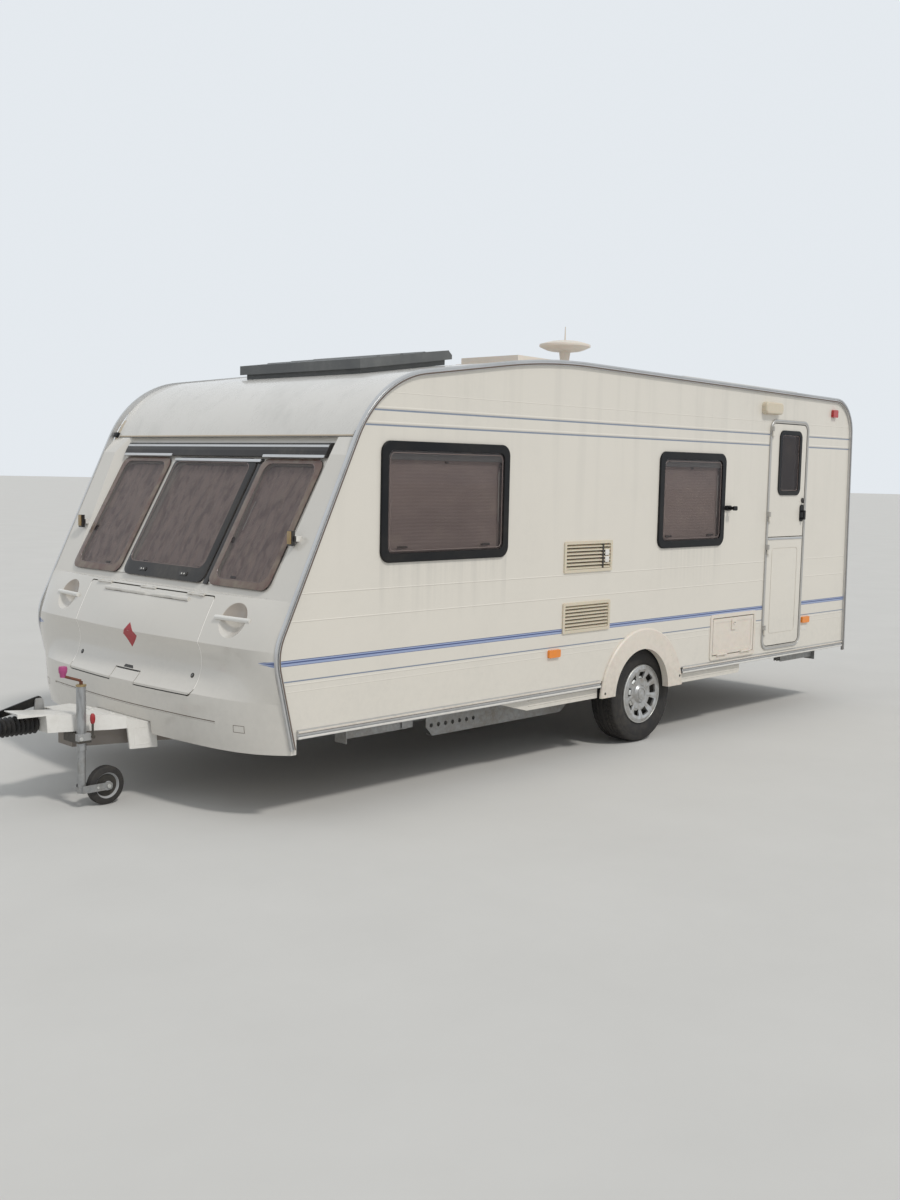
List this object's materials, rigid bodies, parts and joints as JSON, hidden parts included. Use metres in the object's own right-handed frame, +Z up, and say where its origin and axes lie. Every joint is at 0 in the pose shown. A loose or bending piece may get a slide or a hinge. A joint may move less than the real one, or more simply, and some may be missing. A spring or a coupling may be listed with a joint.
{
  "type": "touring caravan",
  "caption": "Single-axle touring caravan with hollow cabin, stable door, opening lockers, jockey wheel and folding corner steadies.",
  "frame": {"origin": "on the ground, under the middle of the box round the whole vehicle", "axes": "+X forward towards the coupling, +Y to the side with the entrance door, +Z up"},
  "size_m": [6.8363, 2.348, 2.683],
  "materials": {
    "white_panel": "painted sandwich panel, satin",
    "white_moulding": "glossy white moulding",
    "cream_plastic": "aged ivory plastic",
    "black_rubber": "matt rubber",
    "black_plastic": "satin black plastic",
    "tinted_glass": "smoke-tinted acrylic",
    "blind_cloth": "pleated blind and curtain cloth",
    "aluminium_trim": "satin extrusion",
    "galvanised_steel": "dull galvanised",
    "tyre_rubber": "dusty tyre",
    "rim_steel": "silver paint",
    "wheel_silver": "silver painted plastic",
    "floor_board": "plywood floor",
    "solar_glass": "white frame and cells",
    "hatch_grey": "weathered grey plastic",
    "amber_lens": "orange lens",
    "red_lens": "red lens"
  },
  "bodies": {
    "caravan": {"wall_door_side": "white_panel", "wall_far_side": "white_panel", "roof_panel": "white_moulding", "rear_panel": "white_panel", "front_panel": "white_moulding", "floor_panel": "floor_board", "wheel_boxes": "black_plastic", "locker_bulkhead": "floor_board", "grab_handles": "white_moulding", "front_window_frame": "white_moulding", "front_window_rail": "aluminium_trim", "window_frames": "black_rubber", "window_panes": "tinted_glass", "window_blinds": "blind_cloth", "door_frame": "white_panel", "door_catch": "black_plastic", "service_locker_frame": "cream_plastic", "fridge_vents": "cream_plastic", "service_hatches": "cream_plastic", "awning_rails": "aluminium_trim", "skirt_rails": "aluminium_trim", "skirt_panels": "white_panel", "wheel_arch_trims": "cream_plastic", "chassis_frame": "galvanised_steel", "axle_beam": "galvanised_steel", "coupling_head": "galvanised_steel", "coupling_bellows": "black_rubber", "hitch_cover": "white_moulding", "jockey_tube": "galvanised_steel", "jockey_clamp": "galvanised_steel", "steady_brackets": "galvanised_steel", "rooflight_front": "hatch_grey", "rooflight_small": "cream_plastic", "solar_panel": "solar_glass", "roof_aerial": "cream_plastic", "marker_lamps": "amber_lens", "awning_lamp": "cream_plastic", "rear_lamps": "red_lens"},
    "wheel_door": {"tyre_door": "tyre_rubber", "rim_door": "rim_steel", "wheel_trim_door": "wheel_silver"},
    "wheel_far": {"tyre_far": "tyre_rubber", "rim_far": "rim_steel", "wheel_trim_far": "wheel_silver"},
    "door_lower": {"door_lower_leaf": "white_panel"},
    "door_upper": {"door_upper_leaf": "white_panel", "door_window": "black_rubber", "door_pane": "tinted_glass", "door_handle": "black_plastic"},
    "service_flap": {"service_locker_door": "cream_plastic"},
    "gas_lid": {"gas_locker_lid": "white_moulding"},
    "handbrake": {"handbrake_lever": "black_plastic"},
    "jockey_inner": {"jockey_leg": "galvanised_steel"},
    "jockey_caster": {"jockey_fork": "galvanised_steel"},
    "jockey_roller": {"jockey_wheel": "black_rubber"},
    "steady_fd": {"steady_front_door": "galvanised_steel"},
    "steady_ff": {"steady_front_far": "galvanised_steel"},
    "steady_rd": {"steady_rear_door": "galvanised_steel"},
    "steady_rf": {"steady_rear_far": "galvanised_steel"}
  },
  "joints": [
    {"name": "wheel_spin_door", "type": "hinge", "parent": "caravan", "child": "wheel_door", "pos_m": [-0.81381, 0.985, 0.314], "axis": [0, 1, 0], "continuous": true},
    {"name": "wheel_spin_far", "type": "hinge", "parent": "caravan", "child": "wheel_far", "pos_m": [-0.81381, -0.985, 0.314], "axis": [0, 1, 0], "continuous": true},
    {"name": "door_lower_swing", "type": "hinge", "parent": "caravan", "child": "door_lower", "pos_m": [-2.17582, 1.15, 1], "axis": [0, 0, -1], "range_deg": [0, 165]},
    {"name": "door_upper_swing", "type": "hinge", "parent": "caravan", "child": "door_upper", "pos_m": [-2.17582, 1.15, 1.7], "axis": [0, 0, -1], "range_deg": [0, 165]},
    {"name": "service_flap_swing", "type": "hinge", "parent": "caravan", "child": "service_flap", "pos_m": [-1.78632, 1.144, 0.507], "axis": [1, 0, 0], "range_deg": [-110, 0]},
    {"name": "gas_lid_lift", "type": "hinge", "parent": "caravan", "child": "gas_lid", "pos_m": [2.19118, 0, 1.077], "axis": [0, -1, 0], "range_deg": [0, 75]},
    {"name": "handbrake_pull", "type": "hinge", "parent": "caravan", "child": "handbrake", "pos_m": [2.78619, -0.095, 0.52], "axis": [0, -1, 0], "range_deg": [0, 60]},
    {"name": "jockey_height", "type": "slide", "parent": "caravan", "child": "jockey_inner", "axis": [0, 0, 1], "range_m": [0, 0.164]},
    {"name": "jockey_swivel", "type": "hinge", "parent": "jockey_inner", "child": "jockey_caster", "pos_m": [2.70119, 0.19, 0.108], "axis": [0, 0, 1], "continuous": true},
    {"name": "jockey_spin", "type": "hinge", "parent": "jockey_caster", "child": "jockey_roller", "pos_m": [2.57018, 0.19, 0.1], "axis": [0, 1, 0], "continuous": true},
    {"name": "steady_front_door_drop", "type": "hinge", "parent": "caravan", "child": "steady_fd", "pos_m": [1.17619, 0.93, 0.352], "axis": [0, 1, 0], "range_deg": [0, 40]},
    {"name": "steady_front_far_drop", "type": "hinge", "parent": "caravan", "child": "steady_ff", "pos_m": [1.17619, -0.93, 0.352], "axis": [0, 1, 0], "range_deg": [0, 40]},
    {"name": "steady_rear_door_drop", "type": "hinge", "parent": "caravan", "child": "steady_rd", "pos_m": [-2.78882, 0.93, 0.352], "axis": [0, -1, 0], "range_deg": [0, 40]},
    {"name": "steady_rear_far_drop", "type": "hinge", "parent": "caravan", "child": "steady_rf", "pos_m": [-2.78882, -0.93, 0.352], "axis": [0, -1, 0], "range_deg": [0, 40]}
  ]
}
